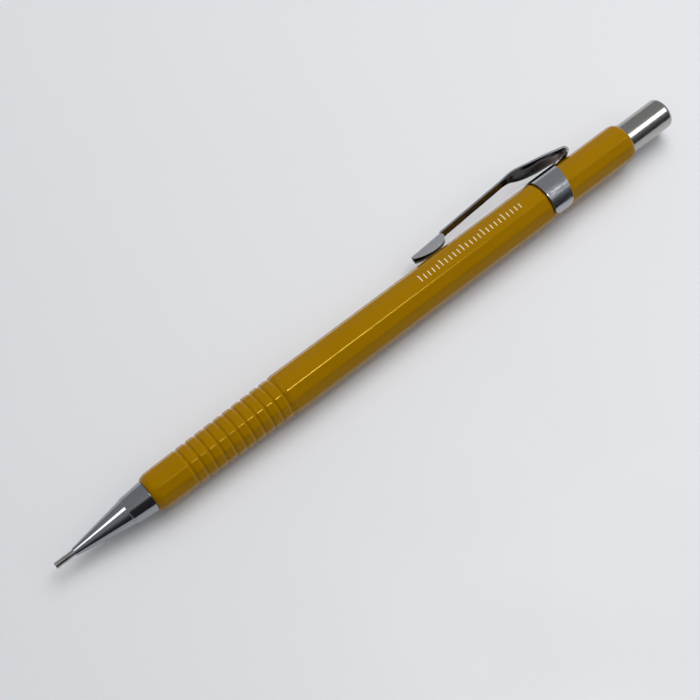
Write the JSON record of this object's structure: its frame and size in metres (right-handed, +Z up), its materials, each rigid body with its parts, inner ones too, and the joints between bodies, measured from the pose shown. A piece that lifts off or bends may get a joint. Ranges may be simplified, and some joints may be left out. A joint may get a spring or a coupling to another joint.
{
  "type": "mechanical pencil",
  "caption": "Slim push-button mechanical pencil with faceted barrel, ring-grooved grip, metal cone and lead sleeve, swivelling pocket clip, push cap and spring-loaded lead clutch.",
  "frame": {"origin": "middle of the barrel flat that the pencil lies on, halfway along the main barrel", "axes": "+X along the pencil from the writing tip to the push cap, +Y towards the clip, +Z up from the flat"},
  "size_m": [0.1424, 0.0126, 0.0089],
  "materials": {
    "barrel_plastic": "moulded, semi-gloss mustard",
    "plated_metal": "bright plated",
    "sleeve_steel": "drawn pipe",
    "retainer_rubber": "matt",
    "clutch_brass": "turned",
    "spring_steel": "drawn wire",
    "inner_plastic": "moulded, matt",
    "eraser_vinyl": "matt white",
    "graphite": "fired graphite lead, dark grey",
    "cap_steel": "satin",
    "clip_steel": "bright sheet metal"
  },
  "bodies": {
    "barrel": {"barrel": "barrel_plastic", "clutch_sleeve": "clutch_brass"},
    "tip": {"cone_tip": "plated_metal", "lead_sleeve": "sleeve_steel", "lead_retainer": "retainer_rubber"},
    "mechanism": {"chuck_stem": "clutch_brass", "tube_connector": "inner_plastic", "lead_tube": "inner_plastic", "eraser_seat": "inner_plastic", "spare_leads": "graphite", "return_spring": "spring_steel"},
    "ring": {"clutch_ring": "clutch_brass"},
    "jaw_a": {"jaw_1": "clutch_brass"},
    "jaw_b": {"jaw_2": "clutch_brass"},
    "jaw_c": {"jaw_3": "clutch_brass"},
    "lead": {"working_lead": "graphite"},
    "eraser_unit": {"eraser": "eraser_vinyl", "cleaning_pin": "spring_steel"},
    "cap": {"push_cap": "cap_steel"},
    "band": {"clip_band": "clip_steel"},
    "arm": {"clip_arm": "clip_steel"}
  },
  "joints": [
    {"name": "push", "type": "slide", "parent": "barrel", "child": "mechanism", "axis": [-1, 0, 0], "range_m": [0, 0.003], "stiffness_N_per_m": 1500, "springref_m": -0.001, "deforming": ["return_spring"]},
    {"name": "tip_off", "type": "slide", "parent": "barrel", "child": "tip", "axis": [-1, 0, 0], "range_m": [0, 0.009]},
    {"name": "ring_slide", "type": "slide", "parent": "barrel", "child": "ring", "axis": [-1, 0, 0], "range_m": [0, 0.0009]},
    {"name": "jaw_a_swing", "type": "hinge", "parent": "mechanism", "child": "jaw_a", "pos_m": [-0.0538, 0.00066, 0.00415], "axis": [0, 0, -1], "range_deg": [0, 1.25]},
    {"name": "jaw_b_swing", "type": "hinge", "parent": "mechanism", "child": "jaw_b", "pos_m": [-0.0538, -0.00033, 0.00472], "axis": [0, 0.866, 0.5], "range_deg": [0, 1.25]},
    {"name": "jaw_c_swing", "type": "hinge", "parent": "mechanism", "child": "jaw_c", "pos_m": [-0.0538, -0.00033, 0.00358], "axis": [0, -0.866, 0.5], "range_deg": [0, 1.25]},
    {"name": "lead_feed", "type": "slide", "parent": "mechanism", "child": "lead", "axis": [-1, 0, 0], "range_m": [0, 0.01]},
    {"name": "eraser_pull", "type": "slide", "parent": "mechanism", "child": "eraser_unit", "axis": [1, 0, 0], "range_m": [0, 0.02]},
    {"name": "cap_pull", "type": "slide", "parent": "eraser_unit", "child": "cap", "axis": [1, 0, 0], "range_m": [0, 0.016]},
    {"name": "clip_swivel", "type": "hinge", "parent": "barrel", "child": "band", "pos_m": [0.03355, 0, 0.00415], "axis": [1, 0, 0], "continuous": true},
    {"name": "clip_flex", "type": "hinge", "parent": "band", "child": "arm", "pos_m": [0.0413, 0.00427, 0.00415], "axis": [0, 0, -1], "range_deg": [0, 5], "stiffness_Nm_per_rad": 1.9, "springref_deg": -1.15}
  ],
  "couplings": [
    {"joint": "ring_slide", "follows": "push", "ratio": 0.29},
    {"joint": "jaw_a_swing", "follows": "push", "rad_per_m": 7.2},
    {"joint": "jaw_b_swing", "follows": "push", "rad_per_m": 7.2},
    {"joint": "jaw_c_swing", "follows": "push", "rad_per_m": 7.2}
  ]
}
